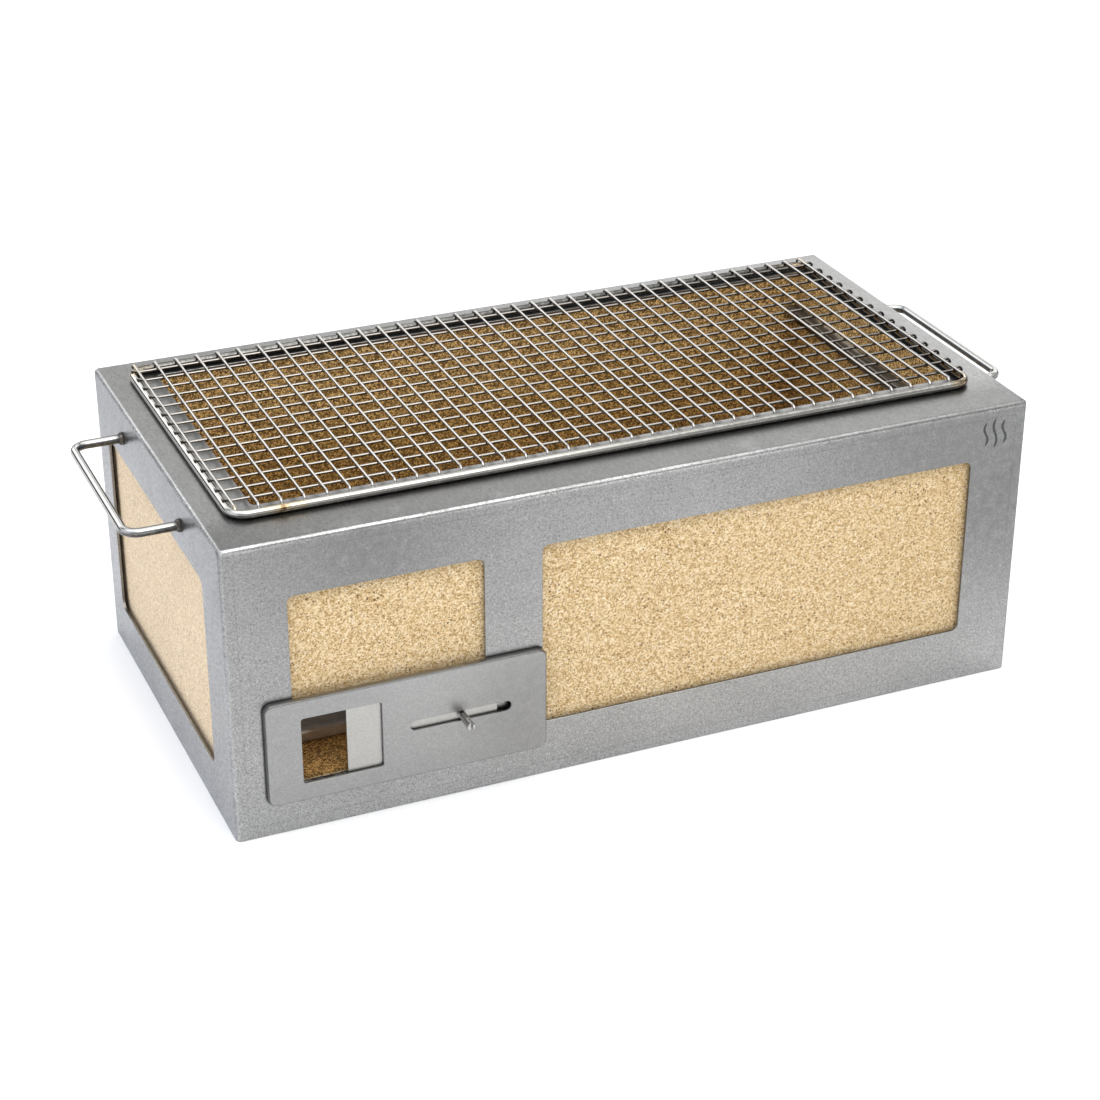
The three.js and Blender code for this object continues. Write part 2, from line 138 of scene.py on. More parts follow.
def in_mm(**opening):
    """A rounded rectangle given in millimetres, as an outline in metres."""
    return [(a * MM, b * MM) for a, b in rounded_rectangle(**opening)]


def prism(outline, place, t0, t1):
    """A closed prism: place(a, b, t) gives the point, t goes from t0 to t1."""
    n = len(outline)
    verts = [place(a, b, t0) for a, b in outline] + [place(a, b, t1) for a, b in outline]
    faces = [tuple(reversed(range(n))), tuple(range(n, 2 * n))]
    faces += [(i, (i + 1) % n, n + (i + 1) % n, n + i) for i in range(n)]
    return verts, faces


def along_x(a, b, t):
    return Vector((t, a, b))


def along_y(a, b, t):
    return Vector((a, t, b))


def along_z(a, b, t):
    return Vector((a, b, t))


def box_part(lo, hi):
    outline = [(lo[0], lo[1]), (hi[0], lo[1]), (hi[0], hi[1]), (lo[0], hi[1])]
    return prism(outline, along_z, lo[2], hi[2])


def outward(piece):
    bm = bmesh.new()
    bm.from_mesh(piece.data)
    bmesh.ops.recalc_face_normals(bm, faces=bm.faces)
    bm.to_mesh(piece.data)
    bm.free()


def bake_modifiers(piece):
    graph = bpy.context.evaluated_depsgraph_get()
    mesh = bpy.data.meshes.new_from_object(piece.evaluated_get(graph))
    piece.modifiers.clear()
    piece.data = mesh


def carve(piece, parts):
    """Cuts closed shapes that don't touch each other out of a piece."""
    outward(piece)
    cutter = new_piece(piece.name + "_cutter", *merge(parts))
    outward(cutter)
    modifier = piece.modifiers.new("carve", "BOOLEAN")
    modifier.operation = "DIFFERENCE"
    modifier.solver = "EXACT"
    modifier.object = cutter
    bake_modifiers(piece)
    bpy.data.objects.remove(cutter)


def soften(piece, width, segments=2, angle=40):
    """Rounds the sharp edges a little, and shades the rest smooth."""
    bevel = piece.modifiers.new("bevel", "BEVEL")
    bevel.width = width
    bevel.segments = segments
    bevel.limit_method = "ANGLE"
    bevel.angle_limit = math.radians(angle)
    smooth(piece, angle)
    weights = piece.modifiers.new("weights", "WEIGHTED_NORMAL")
    weights.keep_sharp = True
    weights.weight = 100
    bake_modifiers(piece)


def smooth(piece, angle=40):
    mesh = piece.data
    mesh.polygons.foreach_set("use_smooth", [True] * len(mesh.polygons))
    mesh.set_sharp_from_angle(angle=math.radians(angle))


def stand_for(piece, material, *nodes):
    """Finishes a piece that takes the place of CAD nodes."""
    piece.data.materials.clear()
    piece.data.materials.append(material)
    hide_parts(*nodes)
    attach(piece, BODY_OF[nodes[0]])


def circle(count):
    """Cosine and sine of evenly spaced angles."""
    angles = [2 * math.pi * k / count for k in range(count)]
    return [(math.cos(angle), math.sin(angle)) for angle in angles]


def ring_faces(count, sides, closed=False):
    """Quads between neighbouring rings of points; closed joins the last ring to the first."""
    faces = []
    for i in range(count if closed else count - 1):
        here, there = i * sides, (i + 1) % count * sides
        for k in range(sides):
            m = (k + 1) % sides
            faces.append((here + k, here + m, there + m, there + k))
    return faces


def end_caps(count, sides):
    """Faces over the first and the last ring."""
    return [tuple(reversed(range(sides))), tuple(range((count - 1) * sides, count * sides))]


def tube(path, radius, sides, closed=False):
    """A round rod along a path of points. radius is one number, or a list with one for each point."""
    count = len(path)
    radii = radius if isinstance(radius, list) else [radius] * count
    verts = []
    side = None
    for i, point in enumerate(path):
        if closed:
            ahead = (path[(i + 1) % count] - path[i - 1]).normalized()
        else:
            ahead = (path[min(i + 1, count - 1)] - path[max(i - 1, 0)]).normalized()
        if side is None:
            side = ahead.cross(Vector((0, 0, 1))).normalized()
        else:
            side = (side - ahead * side.dot(ahead)).normalized()
        lift = side.cross(ahead)
        verts += [point + (side * c + lift * d) * radii[i] for c, d in circle(sides)]
    faces = ring_faces(count, sides, closed)
    return verts, faces if closed else faces + end_caps(count, sides)


def round_ended(path, radius):
    """An open path with a short step past both ends, and radii that narrow there to round its tips."""
    head, tail = [end + (end - inner).normalized() * radius * 0.3
                  for end, inner in ((path[0], path[1]), (path[-1], path[-2]))]
    return [head] + path + [tail], [radius * 0.7] + [radius] * len(path) + [radius * 0.7]


def bent_path(corners, bend):
    """Points along straight runs, split up, with round bends at the inner corners."""
    points = [corners[0]]
    for before, corner, after in zip(corners, corners[1:], corners[2:]):
        towards = (before - corner).normalized()
        away = (after - corner).normalized()
        centre = corner + (towards + away) * bend
        for k in range(ROD_BEND_STEPS + 1):
            angle = math.pi / 2 * k / ROD_BEND_STEPS
            points.append(centre - away * bend * math.cos(angle) - towards * bend * math.sin(angle))
    points.append(corners[-1])
    out = [points[0]]
    for a, b in zip(points, points[1:]):
        pieces = max(1, round((b - a).length / ROD_RUN_STEP))
        out += [a.lerp(b, k / pieces) for k in range(1, pieces + 1)]
    return out


def lathe(profile, segments, origin, axis):
    """A closed round body: profile is (radius, height) points along the axis."""
    turn = Vector((0, 0, 1)).rotation_difference(axis).to_matrix()
    verts = [origin + turn @ Vector((r * c, r * d, h)) for r, h in profile for c, d in circle(segments)]
    return verts, ring_faces(len(profile), segments) + end_caps(len(profile), segments)


# ---- Material tools ----

class Shader:
    """One material's node tree, with short calls for the nodes that it needs."""

    def __init__(self, name):
        self.material = bpy.data.materials.new(name)
        self.material.use_nodes = True
        self.tree = self.material.node_tree
        self.tree.nodes.clear()
        self.surface = self.tree.nodes.new("ShaderNodeBsdfPrincipled")
        output = self.tree.nodes.new("ShaderNodeOutputMaterial")
        self.tree.links.new(self.surface.outputs["BSDF"], output.inputs["Surface"])
        place = self.tree.nodes.new("ShaderNodeTexCoord")
        self.point = place.outputs["Object"]
        self.normal = place.outputs["Normal"]

    def put(self, value, socket):
        if isinstance(value, bpy.types.NodeSocket):
            self.tree.links.new(value, socket)
        else:
            socket.default_value = value

    def noise(self, scale, detail=2, rough=0.5, twist=0):
        """scale is one number, or three that squash the noise along the axes."""
        point = self.point
        if isinstance(scale, tuple):
            squash = self.tree.nodes.new("ShaderNodeMapping")
            self.tree.links.new(point, squash.inputs["Vector"])
            squash.inputs["Scale"].default_value = scale
            point, scale = squash.outputs["Vector"], 1
        node = self.tree.nodes.new("ShaderNodeTexNoise")
        self.tree.links.new(point, node.inputs["Vector"])
        settings = (("Scale", scale), ("Detail", detail), ("Roughness", rough), ("Distortion", twist))
        for name, number in settings:
            node.inputs[name].default_value = number
        return node.outputs["Fac"]

    def cells(self, scale, output="Color"):
        node = self.tree.nodes.new("ShaderNodeTexVoronoi")
        self.tree.links.new(self.point, node.inputs["Vector"])
        node.inputs["Scale"].default_value = scale
        return node.outputs[output]

    def math(self, kind, a, b=0.0):
        node = self.tree.nodes.new("ShaderNodeMath")
        node.operation = kind
        self.put(a, node.inputs[0])
        self.put(b, node.inputs[1])
        return node.outputs[0]

    def chain(self, kind, values):
        found = values[0]
        for value in values[1:]:
            found = self.math(kind, found, value)
        return found

    def times(self, *values):
        return self.chain("MULTIPLY", values)

    def plus(self, *values):
        return self.chain("ADD", values)

    def most(self, *values):
        return self.chain("MAXIMUM", values)

    def less(self, a, b):
        return self.math("SUBTRACT", a, b)

    def size(self, value):
        return self.math("ABSOLUTE", value)

    def span(self, value, lo, hi, to_lo=0.0, to_hi=1.0, smooth_step=True):
        node = self.tree.nodes.new("ShaderNodeMapRange")
        node.interpolation_type = "SMOOTHSTEP" if smooth_step else "LINEAR"
        self.put(value, node.inputs["Value"])
        for name, number in (("From Min", lo), ("From Max", hi), ("To Min", to_lo), ("To Max", to_hi)):
            node.inputs[name].default_value = number
        return node.outputs["Result"]

    def axes(self, vector=None):
        node = self.tree.nodes.new("ShaderNodeSeparateXYZ")
        self.tree.links.new(vector or self.point, node.inputs[0])
        return node.outputs

    def mix(self, share, a, b, kind="MIX"):
        node = self.tree.nodes.new("ShaderNodeMix")
        node.data_type = "RGBA"
        node.blend_type = kind
        self.put(share, node.inputs["Factor"])
        for value, socket in ((a, node.inputs[6]), (b, node.inputs[7])):
            self.put(value if isinstance(value, bpy.types.NodeSocket) else (*value, 1.0), socket)
        return node.outputs[2]

    def tint(self, value, stops):
        """A colour ramp; stops are (place, colour)."""
        node = self.tree.nodes.new("ShaderNodeValToRGB")
        self.put(value, node.inputs["Fac"])
        elements = node.color_ramp.elements
        while len(elements) < len(stops):
            elements.new(0.5)
        for element, (place, colour) in zip(elements, stops):
            element.position = place
            element.color = (*colour, 1.0)
        return node.outputs["Color"]

    def wash(self, colour, over, *shares):
        """A colour with another laid over it, by the product of the shares."""
        return self.mix(self.times(*shares), colour, over)

    def swing(self, value, lo, hi):
        """A noise as a number from -1 to 1, in a straight line from lo to hi."""
        return self.span(value, lo, hi, -1.0, 1.0, False)

    def near(self, centre, reach):
        """1 at a place, falling to 0 at reach metres from it."""
        node = self.tree.nodes.new("ShaderNodeVectorMath")
        node.operation = "DISTANCE"
        self.tree.links.new(self.point, node.inputs[0])
        node.inputs[1].default_value = centre
        return self.span(node.outputs["Value"], 0.0, reach, 1.0, 0.0)

    def rounded_distance(self, centre, half, radius):
        """Signed distance in the XZ plane from a rounded rectangle's outline."""
        x, _, z = self.axes()
        gaps = [self.less(self.size(self.less(value, middle)), reach - radius)
                for value, middle, reach in ((x, centre.x, half[0]), (z, centre.z, half[1]))]
        outside = [self.most(gap, 0.0) for gap in gaps]
        corner = self.math("SQRT", self.plus(*[self.times(gap, gap) for gap in outside]))
        inside = self.math("MINIMUM", self.most(*gaps), 0.0)
        return self.less(self.plus(corner, inside), radius)

    def bump(self, layers):
        """layers are (height, strength, distance), the first one lowest."""
        before = None
        for height, strength, distance in layers:
            node = self.tree.nodes.new("ShaderNodeBump")
            node.inputs["Strength"].default_value = strength
            node.inputs["Distance"].default_value = distance
            self.tree.links.new(height, node.inputs["Height"])
            if before:
                self.tree.links.new(before, node.inputs["Normal"])
            before = node.outputs["Normal"]
        self.tree.links.new(before, self.surface.inputs["Normal"])

    def set(self, **values):
        for name, value in values.items():
            self.put(value, self.surface.inputs[name.replace("_", " ")])


STEEL = 0.31
STEEL_ROUGH = 0.31
SOOT_AND_SHADE = (0.030, 0.028, 0.027)


def sheet_steel(name, grain, lightness=1.0, tint_at=(), dull_at=(), warmth=0.0, outlines=(), painted_shading=False,
                rub_and_highlight=0.7):
    """Grey mill-finish sheet: worm-like grain, heavier on the long sides, soft clouds and wipe marks.

    tint_at: (place, reach, amount, colour). outlines: (centre, half sizes, radius, width, amount).
    painted_shading: the casing's painted shade and light: lighter low on the front and darker high up,
    darker high on the ends, a painted shadow along the top plate's front strip, a painted highlight band
    under the front's top bend, bends shaded towards the right.
    rub_and_highlight: how bright the bends are made, rubbed wear and a painted highlight.
    """
    s = Shader(name)
    facing = s.axes(s.normal)
    end_side, long_side, top_side = [s.span(s.size(facing[k]), 0.5, 0.9) for k in range(3)]
    share = s.times(s.plus(s.times(long_side, 0.60), 0.45), grain)
    slant_share = s.times(s.plus(s.times(top_side, 0.40), end_side), grain)

    worms = s.swing(s.noise(700, 3, 0.62, 1.0), 0.33, 0.67)
    fine = s.swing(s.noise(1500, 2, 0.6, 0.5), 0.30, 0.70)
    clouds = s.swing(s.noise(9, 3, 0.55, 0.3), 0.32, 0.68)
    wipes = s.swing(s.noise((16, 16, 34), 3, 0.6, 0.2), 0.35, 0.65)
    slanted = s.swing(s.noise((620, 240, 620), 3, 0.62, 0.8), 0.33, 0.67)
    smears = s.swing(s.noise(26, 4, 0.6, 0.6), 0.35, 0.65)
    level = s.times(s.plus(s.times(worms, 0.30), s.times(fine, 0.26)), share)
    level = s.plus(level, s.times(slanted, slant_share, 0.42), s.times(smears, end_side, 0.10),
                   s.times(clouds, 0.055), s.times(wipes, 0.03))
    level = s.plus(s.times(level, 0.5), 0.5)
    mid = [STEEL * lightness * w for w in (1.0 + warmth * 0.5, 1.0, 0.985 - warmth)]
    colour = s.mix(level, (0.0, 0.0, 0.0), [2 * c for c in mid])
    # Painted light: the end faces are darker and bluer, as under cooler light from the sides.
    colour = s.mix(end_side, colour, s.mix(1.0, colour, (0.84, 0.86, 0.93), "MULTIPLY"))
    if painted_shading:
        # Painted shade and light: the front lighter low down and darker high up, the ends darker high up, a
        # painted shadow along the top plate's front strip.
        x, y, z = s.axes()
        front = s.span(facing[1], -0.9, -0.6, 1.0, 0.0)
        shade = s.plus(s.times(s.span(z, 0.0, TOP_Z, 0.10, -0.17, False), front),
                       s.times(s.span(z, 0.10, TOP_Z, 0.0, -0.36), end_side),
                       s.times(s.span(y, -0.105, -0.140, 0.0, -0.34), top_side), 1.0)
        shade = s.tint(s.times(shade, 0.5), [(0.0, (0, 0, 0)), (1.0, (2, 2, 2))])
        colour = s.mix(1.0, colour, shade, "MULTIPLY")
        # Painted highlight: a light band just under the front's top bend, broken up by the grain.
        painted_highlight_band = s.span(z, TOP_Z - 5 * MM, TOP_Z - 2.2 * MM)
        patchy = s.span(s.plus(worms, fine), -1.0, 1.0, 0.1, 0.9)
        colour = s.wash(colour, (0.56, 0.56, 0.55), painted_highlight_band, front, patchy)

    # Bends are lighter in colour, partly rubbed wear and partly a painted highlight, less so on upright
    # bends; their roughness is lower too.
    squareness = s.most(*[s.size(facing[k]) for k in range(3)])
    bend = s.span(squareness, 0.985, 0.86)
    rubbed = s.times(bend, s.span(s.noise(14, 3, 0.6), 0.35, 0.65, 0.4, 1.0),
                     s.span(s.size(facing[2]), 0.03, 0.12, 0.25, 1.0),
                     s.span(s.noise(520, 3, 0.65), 0.36, 0.58, 0.3, 1.0))
    colour = s.wash(colour, (0.80, 0.80, 0.78), rubbed, rub_and_highlight)
    if painted_shading:
        # Painted shade: the bends are darkened towards the right end.
        far = s.times(s.span(x, -0.06, 0.22, 0.0, 0.65), s.span(facing[1], -0.1, -0.3))
        colour = s.wash(colour, (0.17, 0.17, 0.165), bend, far)
    scratches = s.span(s.noise((30, 30, 1000), 2, 0.6), 0.62, 0.72)
    colour = s.wash(colour, (0.62, 0.62, 0.62), scratches, 0.10)
    # Tints: heat tints, smudges and dark marks of the steel's own, and painted shade patches; the heat mask
    # below carries them all.
    if tint_at:
        ragged = s.span(s.noise(150, 3, 0.6), 0.2, 0.75, 0.45, 1.0)
        for place, reach, amount, shade in tint_at:
            heat = s.times(s.near(place, reach), ragged)
            if painted_shading:
                heat = s.times(heat, s.span(z, TOP_Z - 3 * MM, TOP_Z - 0.3 * MM, 1.0, 0.0))
            colour = s.wash(colour, shade, heat, amount)
    for centre, half, radius, width, amount in outlines:
        line = s.span(s.size(s.rounded_distance(centre, half, radius)), 0.2 * width, width, 1.0, 0.0)
        front = s.span(facing[1], -0.5, -0.15, 1.0, 0.0)
        colour = s.wash(colour, (0.05, 0.048, 0.045), line, front, amount)

    rough = s.plus(s.times(fine, 0.025), s.times(clouds, 0.02), STEEL_ROUGH,
                   s.times(s.less(bend, rubbed), 0.10))
    if dull_at:
        rough = s.plus(rough, s.times(s.most(*[s.near(p, reach) for p, reach in dull_at]), 0.2))
    s.set(Base_Color=colour, Metallic=1.0, Roughness=rough)
    s.bump([(clouds, 0.3, 0.12 * MM), (worms, 0.35 * grain, 0.020 * MM),
            (s.times(worms, bend), 0.6, 0.05 * MM), (fine, 0.35 * grain, 0.012 * MM)])
    return s.material


def polished_rod(name, base, rough, stain_at=(), soot_at=(), painted_dark_past=(), painted_underside=0.0, underside_shade_top=0.22):
    """Drawn stainless rod or wire: smooth, with fine draw lines.

    stain_at: (place, reach, amount) of straw heat tints. soot_at: (place, reach).
    painted_dark_past: (axis, start, full, amount, tops only) of painted dark reflection and shade.
    painted_underside: painted shade on all that faces below underside_shade_top.
    """
    s = Shader(name)
    draw = s.noise(700, 2, 0.5, 0.4)
    patches = s.noise(45, 3, 0.6)
    colour = s.mix(s.span(patches, 0.3, 0.7), [c * 0.88 for c in base], base)
    ragged = s.span(s.noise(240, 3, 0.6), 0.25, 0.7, 0.3, 1.0)
    for place, reach, amount in stain_at:
        stain = s.times(s.near(place, reach), ragged, amount)
        straw = s.tint(stain, [(0.0, base), (0.3, (0.60, 0.53, 0.40)), (0.6, (0.40, 0.28, 0.15)),
                               (0.85, (0.08, 0.05, 0.035))])
        colour = s.mix(s.span(stain, 0.02, 0.25), colour, straw)
    if soot_at:
        colour = s.wash(colour, SOOT_AND_SHADE, s.most(*[s.near(p, reach) for p, reach in soot_at]), 0.93)
    # Painted dark reflection and shade past a place along an axis, on the tops only where asked.
    for axis, start, full, amount, tops_only in painted_dark_past:
        painted_dark = s.times(s.span(s.axes()[axis], start, full), s.span(ragged, 0.3, 1.0, 0.7, 1.0))
        if tops_only:
            painted_dark = s.times(painted_dark, s.span(s.axes(s.normal)[2], 0.25, 0.6))
        colour = s.wash(colour, SOOT_AND_SHADE, painted_dark, amount)
    # Painted shade on all that faces downwards.
    if painted_underside:
        under = s.span(s.axes(s.normal)[2], underside_shade_top - 0.42, underside_shade_top, painted_underside, 0.0)
        colour = s.wash(colour, SOOT_AND_SHADE, under, s.span(ragged, 0.3, 1.0, 0.8, 1.0))
    s.set(Base_Color=colour, Metallic=1.0, Roughness=s.span(draw, 0.3, 0.7, *rough))
    s.bump([(patches, 0.2, 0.06 * MM), (draw, 0.15, 0.006 * MM)])
    return s.material


def weld_metal(name):
    """Lumpy scorched weld."""
    s = Shader(name)
    lumps = s.noise(500, 3, 0.6, 0.5)
    colour = s.tint(lumps, [(0.3, (0.03, 0.028, 0.028)), (0.55, (0.12, 0.105, 0.09)),
                            (0.8, (0.3, 0.27, 0.24))])
    s.set(Base_Color=colour, Metallic=1.0, Roughness=s.span(lumps, 0.3, 0.7, 0.55, 0.38))
    s.bump([(lumps, 0.8, 0.4 * MM)])
    return s.material


def fire_board(name, inner):
    """Pressed mineral flakes; in the fire box, within inner, and in the vent hole, browned by heat and
    darkened by painted shade.
    """
    s = Shader(name)
    flakes = s.axes(s.cells(800))
    chips = s.axes(s.cells(1500))
    mottled = s.noise(14, 3, 0.6)
    clumps = s.noise(600, 3, 0.65)
    level = s.plus(s.times(flakes[0], 0.42), s.times(chips[0], 0.42), s.times(clumps, 0.36))
    colour = s.tint(level, [(0.28, (0.33, 0.19, 0.072)), (0.44, (0.52, 0.352, 0.162)),
                            (0.60, (0.66, 0.48, 0.254)), (0.86, (0.84, 0.695, 0.462))])
    specks = s.span(chips[1], 0.94, 0.975)
    colour = s.wash(colour, (0.10, 0.055, 0.025), specks, 0.85)
    dots = s.times(s.span(s.cells(430, "Distance"), 0.30, 0.42, 1.0, 0.0),
                   s.span(s.axes(s.cells(430))[0], 0.895, 0.90),
                   s.span(s.noise(34, 2), 0.46, 0.58, 0.1, 1.0))
    colour = s.wash(colour, (0.09, 0.05, 0.022), dots, 0.9)
    sparkle = s.span(flakes[2], 0.93, 0.97)
    colour = s.wash(colour, (0.93, 0.84, 0.68), sparkle, 0.55)
    colour = s.wash(colour, (0.50, 0.33, 0.15), s.span(mottled, 0.3, 0.75, 0.0, 0.12))
    # Painted light: the end faces are lighter and paler, as lit from the side.
    end_side = s.span(s.size(s.axes(s.normal)[0]), 0.5, 0.9)
    colour = s.wash(colour, (0.90, 0.78, 0.66), end_side, 0.36)
    x, y, z = s.axes()
    colour = s.wash(colour, (0.45, 0.31, 0.14), s.span(x, 0.08, 0.28, 0.0, 0.16))

    depth = s.math("MINIMUM", s.less(inner[0], s.size(x)), s.less(inner[1], s.size(y)))
    vent_half = (BOARD_VENT["a1"] - BOARD_VENT["a0"]) / 2 * MM
    vent_top = BOARD_VENT["b1"] * MM
    from_vent = s.size(s.less(x, (BOARD_VENT["a0"] + BOARD_VENT["a1"]) / 2 * MM))
    from_board = s.size(s.less(y, FRONT_BOARD_Y))
    vent_wall = s.times(s.span(from_vent, vent_half + 0.2 * MM, vent_half + 0.6 * MM, 1.0, 0.0),
                        s.span(z, vent_top + 0.2 * MM, vent_top + 0.6 * MM, 1.0, 0.0),
                        s.span(from_board, 15.6 * MM, 16.2 * MM, 1.0, 0.0),
                        s.span(z, 35.5 * MM, 36.2 * MM))
    inside = s.most(s.span(depth, -0.6 * MM, 0.0), s.times(vent_wall, 0.95))
    # Painted shade with heat browning inside: darker lower down in the fire box, and in the vent hole.
    low = s.plus(s.span(z, 0.21, 0.06, 0.0, 0.8), s.times(s.noise(20, 3, 0.6), 0.35))
    burnt_and_shaded = s.tint(low, [(0.1, (0.54, 0.335, 0.125)), (0.5, (0.41, 0.235, 0.068)),
                         (1.0, (0.27, 0.14, 0.036))])
    grains = s.tint(level, [(0.32, (0.30, 0.27, 0.24)), (0.52, (0.66, 0.64, 0.62)),
                            (0.66, (1.22, 1.24, 1.28)), (0.84, (2.6, 2.8, 3.2))])
    baked_and_shaded = s.wash(s.mix(1.0, burnt_and_shaded, grains, "MULTIPLY"), (0.03, 0.017, 0.008), specks, 0.8)
    s.set(Base_Color=s.mix(inside, colour, baked_and_shaded), Roughness=0.92, Specular_IOR_Level=0.25)
    s.bump([(mottled, 0.3, 1.0 * MM), (clumps, 0.6, 0.35 * MM), (level, 0.8, 0.3 * MM)])
    return s.material


def burnt_steel(name):
    """Steel that has been in the fire: browned scale, rubbed bright in patches, with pale ash."""
    s = Shader(name)
    patches = s.noise(40, 4, 0.6, 0.5)
    grit = s.noise(700, 3, 0.6)
    colour = s.tint(patches, [(0.3, (0.50, 0.42, 0.32)), (0.5, (0.66, 0.58, 0.48)),
                              (0.72, (0.80, 0.74, 0.66))])
    colour = s.wash(colour, (0.40, 0.36, 0.31), s.span(grit, 0.55, 0.75), 0.3)
    flat = s.span(s.axes(s.normal)[2], 0.6, 0.95)
    scale = s.tint(s.noise(16, 4, 0.65), [(0.36, (0.060, 0.052, 0.045)), (0.50, (0.12, 0.10, 0.085)),
                                          (0.66, (0.24, 0.215, 0.19))])
    colour = s.mix(flat, colour, scale)
    rough = s.plus(s.span(patches, 0.3, 0.7, 0.16, 0.28), s.times(flat, 0.3))
    s.set(Base_Color=colour, Metallic=s.span(flat, 0.0, 1.0, 0.45, 0.35), Roughness=rough)
    s.bump([(patches, 0.3, 0.2 * MM), (grit, 0.3, 0.03 * MM)])
    return s.material


def dusty_steel(name):
    """Bent sheet dulled by ash, lighter in streaks along its length; its bend is lighter too, rubbed wear
    and a painted highlight.
    """
    s = Shader(name)
    streaks = s.noise((330, 12, 330), 3, 0.6, 0.3)
    grit = s.noise(700, 3, 0.6)
    colour = s.tint(streaks, [(0.36, (0.03, 0.028, 0.025)), (0.52, (0.10, 0.105, 0.10)),
                              (0.66, (0.50, 0.51, 0.50))])
    colour = s.wash(colour, (0.16, 0.145, 0.13), s.span(grit, 0.5, 0.75), 0.3)
    upward = s.axes(s.normal)[2]
    # The bend is lighter: rubbed wear and a painted highlight.
    worn = s.times(s.span(upward, 0.15, 0.4), s.span(upward, 0.85, 0.99, 1.0, 0.0))
    colour = s.wash(colour, (0.70, 0.69, 0.67), worn, 0.7)
    s.set(Base_Color=colour, Metallic=0.55, Roughness=s.span(streaks, 0.3, 0.7, 0.36, 0.22))
    s.bump([(streaks, 0.3, 0.1 * MM), (grit, 0.3, 0.03 * MM)])
    return s.material


def etched(name):
    """Dark etching, a little worn."""
    s = Shader(name)
    wear = s.noise(900, 3, 0.6)
    s.set(Base_Color=s.tint(wear, [(0.3, (0.035, 0.035, 0.037)), (0.75, (0.09, 0.09, 0.092))]),
          Metallic=0.3, Roughness=s.span(wear, 0.3, 0.7, 0.55, 0.75))
    s.bump([(wear, 0.3, 0.05 * MM)])
    return s.material


# ---- Casing ----

def dome(half_x, half_y, top, bottom, bend, upright):
    """An open-bottomed rounded box: outline rings from the bottom up over the top bend."""
    levels = [(bottom, 0.0)]
    for k in range(BEND_STEPS + 1):
        angle = math.pi / 2 * k / BEND_STEPS
        levels.append((top - bend + bend * math.sin(angle), bend * (1 - math.cos(angle))))
    verts = []
    for z, inset in levels:
        outline = rounded_rectangle(inset - half_x, half_x - inset, inset - half_y, half_y - inset,
                                    upright - inset)
        verts += [Vector((x, y, z)) for x, y in outline]
    n = len(verts) // len(levels)
    return verts, ring_faces(len(levels), n) + end_caps(len(levels), n)[1:], n


def pan(half_x, half_y, top, bottom, bend, upright):
    """A sheet-metal pan, open below, as one closed skin."""
    outer_verts, outer_faces, n = dome(half_x, half_y, top, bottom, bend, upright)
    inner_verts, inner_faces, _ = dome(half_x - SHEET, half_y - SHEET, top - SHEET, bottom,
                                       max(bend - SHEET, 0.2 * MM), upright - SHEET)
    start = len(outer_verts)
    faces = outer_faces + [tuple(reversed([i + start for i in face])) for face in inner_faces]
    faces += [(k, start + k, start + (k + 1) % n, (k + 1) % n) for k in range(n)]
    return outer_verts + inner_verts, faces


def make_casing(material):
    """One bent shell with its cut-outs."""
    half_x, half_y = CASING_HI.x, CASING_HI.y
    casing = new_piece("casing_shell", *pan(half_x, half_y, TOP_Z, 0.0, BEND_R, UPRIGHT_R))
    sides = [(TOP_OPENING, along_z, TOP_Z), (END_WINDOW, along_x, -half_x), (END_WINDOW, along_x, half_x)]
    sides += [(opening, along_y, -half_y) for opening in (VENT_HOLE, *FRONT_WINDOWS)]
    sides += [(opening, along_y, half_y) for opening in REAR_WINDOWS]
    carve(casing, [prism(in_mm(**opening), axis, wall - 3 * SHEET, wall + 3 * SHEET)
                   for opening, axis, wall in sides])
    soften(casing, 0.25 * MM)
    stand_for(casing, material, "casing")


# ---- Fire boards ----

def make_boards(material):
    """Four walls and two floor boards; the front and rear ones are notched over the corner brackets."""
    vent = prism(in_mm(**BOARD_VENT), along_y, FRONT_BOARD_Y - 0.03, FRONT_BOARD_Y + 0.02)
    for side in ("front", "rear", "left", "right", "base_left", "base_right"):
        node = f"fire_board_{side}"
        lo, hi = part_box(node)
        board = new_piece(f"board_{side}", *box_part(lo, hi))
        outward(board)
        if side in ("front", "rear"):
            cuts = [box_part((-0.31, lo.y - MM, -0.01), (-NOTCH_X, hi.y + MM, NOTCH_Z)),
                    box_part((NOTCH_X, lo.y - MM, -0.01), (0.31, hi.y + MM, NOTCH_Z))]
            carve(board, cuts + ([vent] if side == "front" else []))
        soften(board, 0.7 * MM)
        stand_for(board, material, node)


# ---- Rails, screws and grate ----

def make_rails(material):
    """Two bent angles that the charcoal grate's ends rest on."""
    thick, bend, steps = 1.6 * MM, 2.2 * MM, 6

    def arc(x, z, radius):
        turns = [math.pi / 2 * k / steps for k in range(steps + 1)]
        return [(x - radius * (1 - math.cos(t)), z - radius * (1 - math.sin(t))) for t in turns]

    for side, sx in (("left", -1), ("right", 1)):
        node = f"rest_rail_{side}"
        lo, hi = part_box(node)
        wall = max(abs(lo.x), abs(hi.x))
        tip = min(abs(lo.x), abs(hi.x))
        outline = [(wall, lo.z)] + arc(wall, hi.z, bend) + [(tip, hi.z), (tip, hi.z - thick)]
        outline += arc(wall - thick, hi.z - thick, bend - thick)[::-1] + [(wall - thick, lo.z)]
        rail = new_piece(f"rail_{side}", *prism([(sx * a, b) for a, b in outline], along_y, lo.y, hi.y))
        outward(rail)
        soften(rail, 0.2 * MM)
        stand_for(rail, material, node)


def cross_part(centre, axis, reach, width, t0, t1):
    """A cross recess, as a prism along an axis."""
    turn = Vector((0, 0, 1)).rotation_difference(axis).to_matrix()
    corners = [(reach, width), (width, width), (width, reach), (-width, reach), (-width, width),
               (-reach, width), (-reach, -width), (-width, -width), (-width, -reach), (width, -reach),
               (width, -width), (reach, -width)]
    return prism(corners, lambda a, b, t: centre + turn @ Vector((a, b, t)), t0, t1)


